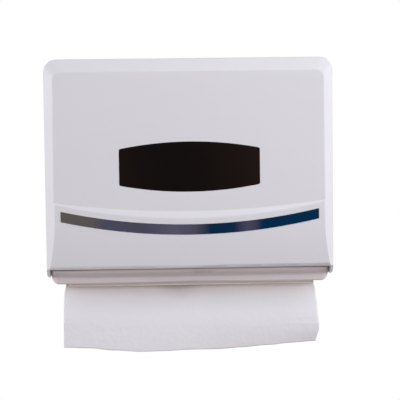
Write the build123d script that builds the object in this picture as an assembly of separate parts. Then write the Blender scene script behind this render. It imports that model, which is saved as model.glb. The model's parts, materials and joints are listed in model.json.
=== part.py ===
"""Wall-hung dispenser for folded paper hand towels, as an assembly of separate pieces.

Millimetres. X runs to the right as seen from the front, +Y points at the wall and +Z is up.
The origin is the centre of the flat back face, so the whole object lies at Y of 0 or less.
The front cover swings forward and down about a pin at each lower front corner, a cylinder lock
in its top engages a strike on the back plate, and the towels stand on a tray with a long mouth.
"""

import math
import os

from build123d import *

# ---- driving dimensions of the body
BODY_WIDTH = 270.0
BODY_DEPTH = 100.0
COVER_TOP = 104.5
LIP_Z = -92.5  # lower edge of the cover's front wall
SKIRT_Z = -99.9  # lower edge of the cover's side walls
PLATE_LOW = -101.5  # lower edge of the back plate
TRAY_BOTTOM = -107.0
WALL = 2.5  # moulded wall of cover and tray
PLATE = 3.0  # thickness of the back plate
HALF = BODY_WIDTH / 2

# ---- front cover
COVER_REAR = -3.5  # rear edge of the cover, just clear of the back plate
DRAFT = 0.6  # how much narrower each side is at the shoulder than at the rear
SHOULDER_Y = -90.5  # where the sides turn into the bevel round the front panel
PANEL_Y = -97.5  # plane of the upper front panel
SIDE_BEVEL = 8.9  # width of the bevel beside the panel, at the top
SIDE_BEVEL_LOW = 7.7  # the same at the lip, so the front widens a little downwards
TOP_BEVEL = 12.1  # height of the bevel above the panel
OUTER_RADIUS = 12.0  # upper corners at the shoulder
PANEL_RADIUS = 7.7  # upper corners of the panel
SKIRT_CHAMFER = 1.8  # lower outer corners of the side walls
BOW_RADIUS = 4200.0  # the lower front bulges by this radius from side to side
BELLY_Y = -BODY_DEPTH  # furthest forward line of the lower front
BELLY_Z = -45.0  # below this height the front curves back towards the lip
LIP_TURN = 4.0  # radius with which the lower edge turns under
LIP_SWEEP = 86.0  # degrees below the horizontal at which that turn ends
LIP_Y = -95.9  # front of the cover just above the turned edge
SKIRT_FRONT = -84.0  # front of the side walls' lower edge
STEP_CENTRE_Z = -38.0  # upper edge of the curved step at mid-width
STEP_RISE = 8.3  # how much higher the step is at its ends
STEP_RUN = 2.6  # height of the step for each millimetre that it stands out
STEP_END_X = 120.0
SHOULDER_SOFT = 1.6  # radius where the sides meet the bevel
PANEL_SOFT = 1.8  # radius where the bevel meets the panel
STEP_SOFT = 0.8  # radius along the proud edge of the step

# ---- viewing window
WINDOW_HALF = 64.8
WINDOW_Z = 2.5
WINDOW_END_HALF = 16.0
WINDOW_MID_HALF = 22.4
LENS_GAP = 0.15
LENS_SINK = 0.4
LENS_FLANGE = 1.8
LENS_FLANGE_SIZE = (146.0, 58.0)
RETAINER_SIZE = 7.0  # side of the square spring plates on the lens stakes
STAKE_RADIUS = 1.5
STAKE_POINTS = [(x, side * z) for side in (1, -1) for x, z in ((-69.0, 22.0), (0.0, 26.0), (69.0, 22.0))]

# ---- bright trim strip across the belly
STRIP_HALF = 120.0
STRIP_TOP_Z = -50.2
STRIP_WIDTH = 9.4
STRIP_RISE = 13.2  # how much higher its ends are than its middle
STRIP_PROUD = 0.35
STRIP_SINK = 0.9
PEG_X = [-96.0, -34.0, 34.0, 96.0]
PEG_RADIUS = 1.25
PEG_PAD = 4.2  # half the side of the flat pad behind each peg
PUSH_NUT_SIZE = 6.4  # side of the square spring plates on the strip's pegs

# ---- hinge of the cover
HINGE_Y = -86.5
HINGE_Z = -86.0
PIN_RADIUS = 2.0
PIN_CLEARANCE = 0.05
EAR_RADIUS = 4.7
EAR_INNER, EAR_OUTER = 120.5, 126.2
BOSS_INNER = 126.7
PIN_ENDS = (119.5, 132.6)

# ---- cylinder lock in the top of the cover
LOCK_Y = -42.0
LOCK_FLANGE_RADIUS = 10.0
LOCK_BODY_RADIUS = 8.0
PLUG_RADIUS = 5.0
LOCK_SEAT_Z = 102.6  # floor of the recess that the lock's flange sits in
LOCK_BOSS = 3.0
LOCK_BASE_Z = 88.0
CAM_THICKNESS = 2.0
CAM_WIDTH = 8.0
CAM_REACH = 27.0
PLUG_HEAD_RADIUS = 6.5
PLUG_HEAD = 1.15  # height of the plug's wider head
STRIKE_THICKNESS = 1.2

# ---- towels, tray and guides
TOWEL_WIDTH = 236.0
STACK_BACK = -6.2
STACK_FRONT = -85.6
STACK_TOP = -24.0
FLOOR_Z = -82.0  # upper face of the tray's ledges
MOUTH_FRONT = -70.0
MOUTH_REAR = -36.0
TRAY_HALF = 131.2
TRAY_CORNER = 9.0  # lower corners of the tray, seen from the front
TRAY_END = 7.0  # front corners of the tray, seen from above
SKIRT_FACE = -79.5  # front of the tray's skirt, just clear of the swing of the cover's lip
SKIRT_BAND = 1.5  # how far the lower band stands out
SKIRT_TOP = -94.0
SKIRT_STEP = -98.4  # below this the skirt slopes forward to its lower band
SKIRT_SLOPE = 2.8  # height of that slope
ARCH_HALF = 58.0  # the finger arch in the skirt's lower edge
ARCH_RISE = 2.0
BEAD_HALF = 116.0  # the rounded bead that the towel slides over, behind the arch
BEAD_RADIUS = 0.95
BEAD_Z = -109.4
GUIDE_FACE = 119.3
GUIDE_BOTTOM, GUIDE_TOP = -58.0, 62.0

# ---- wall fixing holes
HOLE_RADIUS = 2.6
HOLE_SPACING_X = 180.0
HOLE_SPACING_Z = 120.0
HOLE_CENTRE_Z = 15.0

# ---- screws
SCREW_RADIUS = 1.45
SCREW_HOLE = 1.5
SCREW_HEAD = 2.9
SCREW_HEAD_DEPTH = 1.45
SCREW_LENGTH = 4.6
PAN_HEAD = 1.8
PAN_SHANK = 3.2
FLANGE_FRONT = -5.5  # front of the flanges that are screwed to the back plate
PILOT_FLOOR = -0.7  # depth at which the blind pilot holes in the back plate end


def yz_prism(points, x_from, x_to):
    """A prism along X over a closed outline of (y, z) points."""
    outline = Polyline(*[(x_from, y, z) for y, z in points], close=True)
    return extrude(make_face(outline), amount=x_to - x_from, dir=(1, 0, 0))


def block(x0, x1, y0, y1, z0, z1):
    """A box between two corners."""
    size = (x1 - x0, y1 - y0, z1 - z0)
    return Pos((x0 + x1) / 2, (y0 + y1) / 2, (z0 + z1) / 2) * Box(*size)


def rod(x, z, y_from, y_to, radius):
    """A round bar along Y."""
    bar = Cylinder(radius, abs(y_to - y_from))
    return Pos(x, (y_from + y_to) / 2, z) * Rot(90, 0, 0) * bar


def mirrored(shape):
    """A shape and its mirror image on the other side of the middle plane."""
    return shape + mirror(shape, Plane.YZ)


def upright(half, low, top, y, foot_half=None):
    """A symmetrical four-sided face in the plane of one Y, which may be wider at its foot."""
    foot = half if foot_half is None else foot_half
    return make_face(
        Polyline((-foot, y, low), (-half, y, top), (half, y, top), (foot, y, low), close=True)
    )


def upper_corners(face):
    """The two highest corners of an upright rectangle."""
    return face.vertices().sort_by(Axis.Z)[-2:]


def lower_corners(face):
    """The two lowest corners of an upright rectangle."""
    return face.vertices().sort_by(Axis.Z)[:2]


# ------------------------------------------------------------------ front cover
def front_outline(y, half, top, radius, hollow, spread=0.0):
    """The cover's section at one depth, wider by spread for each millimetre further down.

    The outside has chamfered lower corners. The hollow runs on below them, so it is open there.
    """
    low = SKIRT_Z - 20.0 if hollow else SKIRT_Z
    face = fillet(upper_corners(upright(half, low, top, y, half + spread * (top - low))), radius)
    return face if hollow else chamfer(lower_corners(face), SKIRT_CHAMFER)


def bevelled_body(inset):
    """Sides, top and bevels of the cover, offset inwards by inset, with a front past the belly."""
    ease = inset * math.tan(math.pi / 8)
    shoulder_half = HALF - DRAFT
    shoulder_top = COVER_TOP - DRAFT
    depth = SHOULDER_Y - (BELLY_Y - 1.0)
    reach = depth / (SHOULDER_Y - PANEL_Y)
    front_half = shoulder_half - SIDE_BEVEL * reach
    front_top = shoulder_top - TOP_BEVEL * reach
    front_radius = OUTER_RADIUS - (OUTER_RADIUS - PANEL_RADIUS) * reach
    spread = (SIDE_BEVEL - SIDE_BEVEL_LOW) * reach / (shoulder_top - TOP_BEVEL - LIP_Z)
    hollow = inset > 0
    rear_y = 5.0 if hollow else COVER_REAR
    rounding = OUTER_RADIUS - inset
    rear = front_outline(rear_y, HALF - inset, COVER_TOP - inset, rounding, hollow)
    shoulder = front_outline(
        SHOULDER_Y + ease, shoulder_half - inset, shoulder_top - inset, rounding, hollow
    )
    front = front_outline(
        BELLY_Y - 1.0 + inset, front_half - ease, front_top - ease, front_radius - ease, hollow, spread
    )
    return loft([rear, shoulder], ruled=True) + loft([shoulder, front], ruled=True)


def belly_body(inset, hollow=False):
    """Everything behind the bowed lower front, whose section is one line, an arc and a turned lip."""
    crest = BELLY_Y + inset
    tip_angle = math.radians(LIP_SWEEP)
    back = LIP_Y - BELLY_Y
    drop = BELLY_Z - (LIP_Z + LIP_TURN * math.sin(tip_angle))
    curve_radius = (drop**2 + back**2) / (2 * back) - inset
    bend = math.asin(drop / (curve_radius + inset))
    foot_y = crest + curve_radius * (1 - math.cos(bend))
    foot_z = BELLY_Z - curve_radius * math.sin(bend)
    middle = bend / 2
    curve = ThreePointArc(
        (0, crest, BELLY_Z),
        (0, crest + curve_radius * (1 - math.cos(middle)), BELLY_Z - curve_radius * math.sin(middle)),
        (0, foot_y, foot_z),
    )
    turn = LIP_TURN - inset
    centre = (foot_y + turn * math.cos(bend), foot_z + turn * math.sin(bend))
    half_way = (bend + tip_angle) / 2
    tip = (centre[0] - turn * math.cos(tip_angle), centre[1] - turn * math.sin(tip_angle))
    lip = ThreePointArc(
        (0, foot_y, foot_z),
        (0, centre[0] - turn * math.cos(half_way), centre[1] - turn * math.sin(half_way)),
        (0, tip[0], tip[1]),
    )
    # behind the lip the outside steps back and down to the skirt of the side walls
    back_y, far_low, far_high = 12.0, -118.0, 120.0
    below = [tip, (tip[0], far_low)] if hollow else [tip, (SKIRT_FRONT, SKIRT_Z), (SKIRT_FRONT, far_low)]
    around = [*below, (back_y, far_low), (back_y, far_high), (crest, far_high), (crest, BELLY_Z)]
    rest = Polyline(*[(0, y, z) for y, z in around])
    section = make_face(Wire([*curve.edges(), *lip.edges(), *rest.edges()]))
    axis = Axis((0, BELLY_Y + BOW_RADIUS, 0), (0, 0, 1))
    sweep = 4.6
    return revolve(section, axis=axis, revolution_arc=sweep).rotate(axis, -sweep / 2)


def arc_points(middle_z, rise, half_width, reach):
    """Three (x, z) points of an arc that rises by rise at half_width, carried out to reach."""
    radius = (half_width**2 + rise**2) / (2 * rise)
    lift = radius - math.sqrt(radius**2 - reach**2)
    return (-reach, middle_z + lift), (0, middle_z), (reach, middle_z + lift)


def panel_recess(inset):
    """What is cut from the belly above the curved step, down to the plane of the upper panel."""
    plane_y = PANEL_Y + inset
    left, middle, right = arc_points(STEP_CENTRE_Z + inset * 0.2, STEP_RISE, STEP_END_X, 140.0)
    lower = ThreePointArc(*[(x, plane_y, z) for x, z in (left, middle, right)])
    above = 140.0
    around = [(right[0], right[1]), (right[0], above), (left[0], above), (left[0], left[1])]
    upper = Polyline(*[(x, plane_y, z) for x, z in around])
    face = make_face(Wire([*lower.edges(), *upper.edges()]))
    slope = Vector(0, -1, -STEP_RUN)
    return extrude(face, amount=6 * slope.length, dir=slope.normalized())


def window_face(y, grow):
    """The window's outline: upright ends, with the upper and lower edges arched outwards."""
    half, end, mid = WINDOW_HALF + grow, WINDOW_END_HALF + grow, WINDOW_MID_HALF + grow
    top = ThreePointArc((-half, y, WINDOW_Z + end), (0, y, WINDOW_Z + mid), (half, y, WINDOW_Z + end))
    bottom = ThreePointArc((half, y, WINDOW_Z - end), (0, y, WINDOW_Z - mid), (-half, y, WINDOW_Z - end))
    right = Line((half, y, WINDOW_Z + end), (half, y, WINDOW_Z - end))
    left = Line((-half, y, WINDOW_Z - end), (-half, y, WINDOW_Z + end))
    face = make_face(Wire([*top.edges(), *right.edges(), *bottom.edges(), *left.edges()]))
    return fillet(face.vertices(), 1.2 + grow / 4)


def strip_band(grow):
    """A slab through the front wall with the outline of the trim strip."""
    y = BELLY_Y - 6
    half = STRIP_HALF + grow
    upper = arc_points(STRIP_TOP_Z + grow, STRIP_RISE, STRIP_HALF, half)
    lower = arc_points(STRIP_TOP_Z - STRIP_WIDTH - grow, STRIP_RISE, STRIP_HALF, half)
    top = ThreePointArc(*[(x, y, z) for x, z in upper])
    bottom = ThreePointArc(*[(x, y, z) for x, z in lower])
    right = Line((half, y, upper[2][1]), (half, y, lower[2][1]))
    left = Line((-half, y, upper[0][1]), (-half, y, lower[0][1]))
    outline = Wire([*top.edges(), *right.edges(), *bottom.edges(), *left.edges()])
    return extrude(make_face(outline), amount=14, dir=(0, 1, 0))


def strip_mid_z(x):
    """Height of the strip's centre line at one X."""
    radius = (STRIP_HALF**2 + STRIP_RISE**2) / (2 * STRIP_RISE)
    return STRIP_TOP_Z - STRIP_WIDTH / 2 + radius - math.sqrt(radius**2 - x**2)


def edges_in_plane(shape, y, above):
    """Edges that lie in the plane of one Y and reach higher than the given Z."""
    found = []
    for edge in shape.edges():
        box = edge.bounding_box()
        flat = abs(box.min.Y - y) < 0.05 and abs(box.max.Y - y) < 0.05
        if flat and box.max.Z > above:
            found.append(edge)
    return found


def step_crest(shape):
    """The proud edge of the curved step, the lower of the two long edges that rise to their ends."""
    boxes = [(edge, edge.bounding_box()) for edge in shape.edges()]
    long_ones = [(box.min.Z, edge) for edge, box in boxes if box.size.X > 200 and box.size.Z > STEP_RISE / 2]
    return [min(long_ones, key=lambda pair: pair[0])[1]]


def softened_front():
    """The outside of the cover with its moulded radii."""
    outer = bevelled_body(0) & belly_body(0)
    outer -= panel_recess(0)
    outer = fillet(edges_in_plane(outer, SHOULDER_Y, LIP_Z + 1), SHOULDER_SOFT)
    outer = fillet(edges_in_plane(outer, PANEL_Y, 0.0), PANEL_SOFT)
    return fillet(step_crest(outer), STEP_SOFT)


def front_cover():
    """The one-piece shell: front, top, sides, hinge bosses, lock seat, window and strip channel."""
    outer = softened_front()
    inner = bevelled_body(WALL) & belly_body(WALL, hollow=True)
    inner -= panel_recess(WALL)
    shell = outer - inner
    # the rear lower corners swing close to the back plate, so they are cut back
    behind, below, cut = COVER_REAR + 3, SKIRT_Z - 20, COVER_REAR - 1.9
    corner = [(COVER_REAR, HINGE_Z), (behind, HINGE_Z), (behind, below), (cut, below), (cut, SKIRT_Z)]
    shell -= yz_prism(corner, -HALF - 5, HALF + 5)
    # lock seat: a thickened pad under the top with a recess for the flange
    pad = Pos(0, LOCK_Y, (COVER_TOP + LOCK_SEAT_Z - LOCK_BOSS) / 2) * Cylinder(
        LOCK_FLANGE_RADIUS + 3.5, COVER_TOP - LOCK_SEAT_Z + LOCK_BOSS
    )
    shell += pad
    recess_depth = 2 * (COVER_TOP + 5 - LOCK_SEAT_Z)
    shell -= Pos(0, LOCK_Y, COVER_TOP + 5) * Cylinder(LOCK_FLANGE_RADIUS + 0.2, recess_depth)
    shell -= Pos(0, LOCK_Y, LOCK_SEAT_Z) * Cylinder(LOCK_BODY_RADIUS + 0.15, 30)
    # hinge bosses inside the lower front corners
    boss_outer = HALF - 1.6
    boss_middle = Pos((BOSS_INNER + boss_outer) / 2, HINGE_Y, HINGE_Z)
    boss = boss_middle * Rot(0, 90, 0) * Cylinder(EAR_RADIUS, boss_outer - BOSS_INNER)
    shell += mirrored(boss)
    bore_end = PIN_ENDS[1] + 0.2
    bore = Pos((BOSS_INNER - 1 + bore_end) / 2, HINGE_Y, HINGE_Z) * Rot(0, 90, 0) * Cylinder(
        PIN_RADIUS + PIN_CLEARANCE, bore_end - BOSS_INNER + 1
    )
    shell -= mirrored(bore)
    # window opening and the stakes that hold its lens
    shell -= extrude(window_face(PANEL_Y - 5, 0), amount=12, dir=(0, 1, 0))
    for x, z in STAKE_POINTS:
        shell += rod(x, WINDOW_Z + z, PANEL_Y + 1.0, PANEL_Y + WALL + LENS_FLANGE + 1.6, STAKE_RADIUS)
    # channel for the trim strip, with a flat pad behind each peg
    shell -= strip_band(0.1) - belly_body(STRIP_SINK + 0.05)
    pad_back = BELLY_Y + WALL + 2.0
    for x in PEG_X:
        z = strip_mid_z(x)
        shell += block(x - PEG_PAD, x + PEG_PAD, BELLY_Y + WALL - 0.2, pad_back, z - PEG_PAD, z + PEG_PAD)
        shell -= rod(x, z, BELLY_Y - 1, pad_back + 1, PEG_RADIUS + 0.15)
    # stiffening ribs under the top, each side of the lock
    for side in (-1, 1):
        x = side * 60.0
        shell += yz_prism(
            [(-92.0, 103.0), (-92.0, 84.0), (-82.0, 97.0), (-16.0, 99.0), (-16.0, 103.0)], x - 1.0, x + 1.0
        ) & bevelled_body(1.0)
    return shell


def window_lens():
    """Smoked pane: a raised field that fills the opening and a flange behind the wall."""
    front = PANEL_Y + LENS_SINK
    back = PANEL_Y + WALL
    pane = extrude(window_face(front, -LENS_GAP), amount=back - front + 0.01, dir=(0, 1, 0))
    width, height = LENS_FLANGE_SIZE
    flange = Pos(0, back + LENS_FLANGE / 2, WINDOW_Z) * Rot(90, 0, 0) * extrude(
        RectangleRounded(width, height, 6), amount=LENS_FLANGE / 2, both=True
    )
    lens = pane + flange
    for x, z in STAKE_POINTS:
        lens -= rod(x, WINDOW_Z + z, back - 1, back + LENS_FLANGE + 1, STAKE_RADIUS + 0.15)
    return lens


def spring_plate(x, z, seat, size, shaft):
    """A square push-on plate that grips a round shaft."""
    plate = block(x - size / 2, x + size / 2, seat, seat + 0.6, z - size / 2, z + size / 2)
    return plate - rod(x, z, seat - 1, seat + 2, shaft + 0.02)


def lens_retainers():
    """Square spring plates pushed over the cover's stakes."""
    seat = PANEL_Y + WALL + LENS_FLANGE
    places = [(x, WINDOW_Z + z) for x, z in STAKE_POINTS]
    return Compound(children=[spring_plate(x, z, seat, RETAINER_SIZE, STAKE_RADIUS) for x, z in places])


def trim_strip():
    """Curved bright strip that stands a little out of its channel, with pegs behind."""
    strip = (strip_band(0) & belly_body(-STRIP_PROUD)) - belly_body(STRIP_SINK)
    for x in PEG_X:
        strip += rod(x, strip_mid_z(x), BELLY_Y + 0.6, BELLY_Y + WALL + 4.2, PEG_RADIUS)
    return strip


def strip_push_nuts():
    """Push-on nuts that hold the strip's pegs from inside."""
    seat = BELLY_Y + WALL + 2.0
    places = [(x, strip_mid_z(x)) for x in PEG_X]
    return Compound(children=[spring_plate(x, z, seat, PUSH_NUT_SIZE, PEG_RADIUS) for x, z in places])


# ------------------------------------------------------------------ lock
def lock_disc(z_from, z_to, radius):
    """A round piece on the lock's axis."""
    return Pos(0, LOCK_Y, (z_from + z_to) / 2) * Cylinder(radius, z_to - z_from)


def lock_housing():
    """Fixed barrel with a flange on top, flats on two sides and a bore for the plug."""
    body = lock_disc(LOCK_SEAT_Z, COVER_TOP - 0.1, LOCK_FLANGE_RADIUS)
    body = chamfer(body.edges().group_by(Axis.Z)[-1], 0.5)
    body += lock_disc(LOCK_BASE_Z, LOCK_SEAT_Z, LOCK_BODY_RADIUS)
    head_seat = COVER_TOP - 0.3 - PLUG_HEAD - 0.05
    body -= lock_disc(head_seat, COVER_TOP + 1, PLUG_HEAD_RADIUS + 0.05)
    return body - lock_disc(LOCK_BASE_Z - 1, COVER_TOP + 1, PLUG_RADIUS + 0.05)


def lock_washer():
    """Shakeproof washer under the lock's nut."""
    top = LOCK_SEAT_Z - LOCK_BOSS
    return lock_disc(top - 0.8, top, 10.5) - lock_disc(top - 2, top + 1, LOCK_BODY_RADIUS + 0.1)


def lock_nut():
    """Hexagonal nut that clamps the barrel in the cover."""
    top = LOCK_SEAT_Z - LOCK_BOSS - 0.8
    height = 4.0
    hexagon = extrude(RegularPolygon(10.0, 6, major_radius=False), amount=height)
    return Pos(0, LOCK_Y, top - height) * hexagon - lock_disc(top - 10, top + 1, LOCK_BODY_RADIUS + 0.02)


def lock_plug():
    """Turning cylinder with the keyway, and a squared end that drives the cam."""
    top = COVER_TOP - 0.3
    plug = lock_disc(LOCK_BASE_Z - 0.2, top, PLUG_RADIUS)
    plug += lock_disc(top - PLUG_HEAD, top, PLUG_HEAD_RADIUS)
    square = Pos(0, LOCK_Y, LOCK_BASE_Z - 0.2 - CAM_THICKNESS / 2) * Box(6, 6, CAM_THICKNESS)
    keyway = Pos(0, LOCK_Y, top - 6) * Box(1.4, 6.4, 14)
    return plug + square - keyway - lock_disc(LOCK_BASE_Z - 3, LOCK_BASE_Z + 5, 1.6)


def lock_cam():
    """Flat tongue on the plug's squared end. It points at the wall when the lock is open."""
    top = LOCK_BASE_Z - 0.2
    half = CAM_WIDTH / 2
    bar = block(-half, half, LOCK_Y, LOCK_Y + CAM_REACH - half, top - CAM_THICKNESS, top)
    tip = Pos(0, CAM_REACH - half, 0) * lock_disc(top - CAM_THICKNESS, top, half)
    eye = lock_disc(top - CAM_THICKNESS, top, 6.5)
    return bar + tip + eye - Pos(0, LOCK_Y, top) * Box(6.1, 6.1, 10)


def cam_screw():
    """Screw up through the cam into the plug."""
    top = LOCK_BASE_Z - 0.2 - CAM_THICKNESS
    head = lock_disc(top - 2.2, top, 4.2)
    slot = Pos(0, LOCK_Y, top - 2.2) * Box(7, 1.0, 1.6)
    return head - slot + lock_disc(top, LOCK_BASE_Z + 4.5, 1.55)


# ------------------------------------------------------------------ base
def cross_recess(x, z, face_y):
    """The cross cut in a screw's head."""
    return Pos(x, face_y, z) * (Box(3.4, 1.4, 0.6) + Box(0.6, 1.4, 3.4))


def countersunk_cone(x, z, narrow, wide, height):
    """A cone that narrows towards the wall, as under a countersunk head."""
    cone = Cone(narrow, wide, height)
    return Pos(x, FLANGE_FRONT + SCREW_HEAD_DEPTH / 2, z) * Rot(90, 0, 0) * cone


def countersunk_screw(x, z):
    """A countersunk screw driven towards the wall, its head flush with the flange it holds."""
    head = countersunk_cone(x, z, SCREW_RADIUS, SCREW_HEAD, SCREW_HEAD_DEPTH)
    shank = rod(x, z, FLANGE_FRONT + SCREW_HEAD_DEPTH, FLANGE_FRONT + SCREW_LENGTH, SCREW_RADIUS)
    return head + shank - cross_recess(x, z, FLANGE_FRONT)


def countersink(x, z):
    """The hole that such a screw fills, a little larger all round."""
    cone = countersunk_cone(x, z, SCREW_HOLE, SCREW_HEAD + 0.08, SCREW_HEAD_DEPTH + 0.02)
    return cone + rod(x, z, FLANGE_FRONT, FLANGE_FRONT + SCREW_LENGTH + 0.3, SCREW_HOLE)


TRAY_SCREWS = [(-95.0, -72.0), (-32.0, -72.0), (32.0, -72.0), (95.0, -72.0)]
GUIDE_SCREW_X = 125.2
GUIDE_SCREW_Z = (-40.0, 44.0)
GUIDE_SCREWS = [(x, z) for x in (-GUIDE_SCREW_X, GUIDE_SCREW_X) for z in GUIDE_SCREW_Z]
STRIKE_SCREWS = [(-31.0, 68.0), (-8.0, 68.0)]


def wall_holes():
    """Centres of the four wall fixing holes."""
    return [
        (sx * HOLE_SPACING_X / 2, HOLE_CENTRE_Z + sz * HOLE_SPACING_Z / 2) for sx in (-1, 1) for sz in (-1, 1)
    ]


def back_plate():
    """Flat plate against the wall, with an upright rim inside the cover, ribs and screw pads."""
    half, top, low = HALF - 0.4, COVER_TOP - 0.4, PLATE_LOW
    face = fillet(upper_corners(upright(half, low, top, 0)), OUTER_RADIUS)
    face = fillet(lower_corners(face), 6.0)
    plate = extrude(face, amount=PLATE, dir=(0, -1, 0))
    # upright rim, an arch that the cover closes over
    rim_half, rim_top, rim_low = HALF - WALL - 1.0, COVER_TOP - WALL - 1.0, -78.0
    rim_wall, rim_depth = 2.0, 9.0

    def arch(inset):
        shape = upright(rim_half - inset, rim_low, rim_top - inset, -PLATE)
        rounded = fillet(upper_corners(shape), OUTER_RADIUS - WALL - inset)
        return extrude(rounded, amount=rim_depth, dir=(0, -1, 0))

    plate += arch(0) - arch(rim_wall)
    # upright ribs that carry the towels, and cross ribs above them
    rib_back, rib_front = -PLATE, -PLATE - 2.7
    for x in (-60.0, -20.0, 20.0, 60.0):
        plate += block(x - 1, x + 1, rib_front, rib_back, -60.0, 58.0)
    for z in (58.0, 90.0):
        plate += block(-108.0, 108.0, rib_front, rib_back, z - 1, z + 1)
    for x in (-108.0, 108.0):
        plate += block(x - 1, x + 1, rib_front, rib_back, -60.0, 91.0)
    # pads round the wall holes
    for x, z in wall_holes():
        plate += rod(x, z, -PLATE - 2.0, -PLATE, 8.0)
    plate -= Compound(children=[rod(x, z, -PLATE - 5, 1, HOLE_RADIUS) for x, z in wall_holes()])
    # pilot holes for the screws of tray, guides and strike
    for x, z in TRAY_SCREWS + GUIDE_SCREWS + STRIKE_SCREWS:
        plate -= rod(x, z, -PLATE - 4, PILOT_FLOOR, SCREW_HOLE)
    return plate


def towel_tray():
    """Bottom moulding: ledges each side of the mouth, curved skirt in front, and the hinge ears."""
    corner = TRAY_CORNER

    def hull(half, low, radius, y_from, y_to):
        rounded = fillet(lower_corners(upright(half, low, FLOOR_Z, y_from)), radius)
        return extrude(rounded, amount=y_to - y_from, dir=(0, 1, 0))

    def plan(inset):
        """A tall block with the tray's outline as seen from above."""
        half, front = TRAY_HALF - inset, SKIRT_FACE - SKIRT_BAND + inset
        low, tall = TRAY_BOTTOM - 5, 30
        body = block(-half, half, front, 10.0, low, low + tall)
        front_edges = body.edges().filter_by(Axis.Z).group_by(Axis.Y)[0]
        return fillet(front_edges, TRAY_END - inset)

    # the skirt is a channel: a front wall in two bands, a floor and the front wall of the mouth
    step_y, wall = SKIRT_FACE - SKIRT_BAND, 2.0
    face_in, step_in = SKIRT_FACE + wall, step_y + wall
    front_wall = [(SKIRT_FACE, SKIRT_TOP), (SKIRT_FACE, SKIRT_STEP), (step_y, SKIRT_STEP - SKIRT_SLOPE)]
    front_wall += [(step_y, TRAY_BOTTOM + 1.6), (step_y + 1.2, TRAY_BOTTOM + 0.4), (step_y + 3, TRAY_BOTTOM)]
    mouth_wall = [(MOUTH_FRONT, TRAY_BOTTOM), (MOUTH_FRONT, -86.0), (MOUTH_FRONT - WALL, -86.0)]
    skirt = yz_prism(front_wall + mouth_wall + [(MOUTH_FRONT - WALL, SKIRT_TOP)], -TRAY_HALF, TRAY_HALF)
    channel_floor = TRAY_BOTTOM + ARCH_RISE + 2.4
    channel = [(face_in, SKIRT_TOP + 1), (face_in, SKIRT_STEP), (step_in, SKIRT_STEP - SKIRT_SLOPE)]
    channel += [(step_in, channel_floor), (MOUTH_FRONT - WALL, channel_floor)]
    gutter = yz_prism(channel + [(MOUTH_FRONT - WALL, SKIRT_TOP + 1)], -TRAY_HALF + WALL, TRAY_HALF - WALL)
    outline = hull(TRAY_HALF, TRAY_BOTTOM, corner, -90.0, -3.0)
    hollow = hull(TRAY_HALF - WALL, TRAY_BOTTOM + WALL, corner - WALL, -90.0, -3.0)
    tray = (skirt & outline & plan(0)) - (gutter & hollow & plan(wall))
    # shallow arch in the skirt's lower edge, where fingers reach the towel
    arch_radius = (ARCH_HALF**2 + ARCH_RISE**2) / (2 * ARCH_RISE)
    arch_z = TRAY_BOTTOM + ARCH_RISE - arch_radius
    tray -= Pos(0, -79.0, arch_z) * Rot(90, 0, 0) * Cylinder(arch_radius, 10.0)
    # small pocket with two ribs in the upper band, near the middle
    pocket = block(3.5, 19.5, SKIRT_FACE - 1, SKIRT_FACE + 0.9, SKIRT_STEP + 0.6, SKIRT_TOP + 1)
    for x in (7.0, 14.4):
        pocket -= block(x, x + 1.6, SKIRT_FACE - 1, SKIRT_FACE + 0.9, SKIRT_STEP, SKIRT_TOP + 1)
    tray -= pocket
    # bead below the front wall of the mouth
    bead_y = MOUTH_FRONT - 1.1
    bead = Pos(0, bead_y, BEAD_Z) * Rot(0, 90, 0) * Cylinder(BEAD_RADIUS, 2 * BEAD_HALF)
    tray += bead + block(-BEAD_HALF, BEAD_HALF, bead_y - 0.5, bead_y + 0.5, BEAD_Z, TRAY_BOTTOM + 1)
    # rounded end walls behind the skirt, down to the back plate
    shell = hull(TRAY_HALF, TRAY_BOTTOM, corner, -73.0, -PLATE) - hull(
        TRAY_HALF - WALL, TRAY_BOTTOM + WALL, corner - WALL, -74.0, 0.0
    )
    tray += shell - block(-122.0, 122.0, -80.0, 0.0, TRAY_BOTTOM - 1, FLOOR_Z + 1)
    # ledges, front retaining wall with a finger dip, rear flange and funnel edges
    edge = FLOOR_Z - WALL
    tray += block(-EAR_OUTER, EAR_OUTER, -88.5, MOUTH_FRONT, edge, FLOOR_Z)
    tray += block(-TRAY_HALF, TRAY_HALF, -75.5, MOUTH_FRONT, edge, FLOOR_Z)
    tray += block(-TRAY_HALF, -122.0, MOUTH_FRONT, -PLATE, edge, FLOOR_Z)
    tray += block(122.0, TRAY_HALF, MOUTH_FRONT, -PLATE, edge, FLOOR_Z)
    tray += block(-TRAY_HALF, TRAY_HALF, MOUTH_REAR, -PLATE, edge, FLOOR_Z)
    tray += block(-122.0, 122.0, MOUTH_FRONT - WALL, MOUTH_FRONT, -87.0, FLOOR_Z)
    tray += block(-124.3, 124.3, MOUTH_REAR, MOUTH_REAR + WALL, -93.0, FLOOR_Z)
    retaining_wall = block(-EAR_OUTER, EAR_OUTER, -88.5, -86.3, edge, -68.0)
    dip_radius = 120.0
    dip = Pos(0, -87.4, -68.0 + dip_radius - 9.0) * Rot(90, 0, 0) * Cylinder(dip_radius, 10)
    tray += retaining_wall - dip
    tray += block(-118.0, 118.0, FLANGE_FRONT, -PLATE, edge, -62.0)
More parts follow.
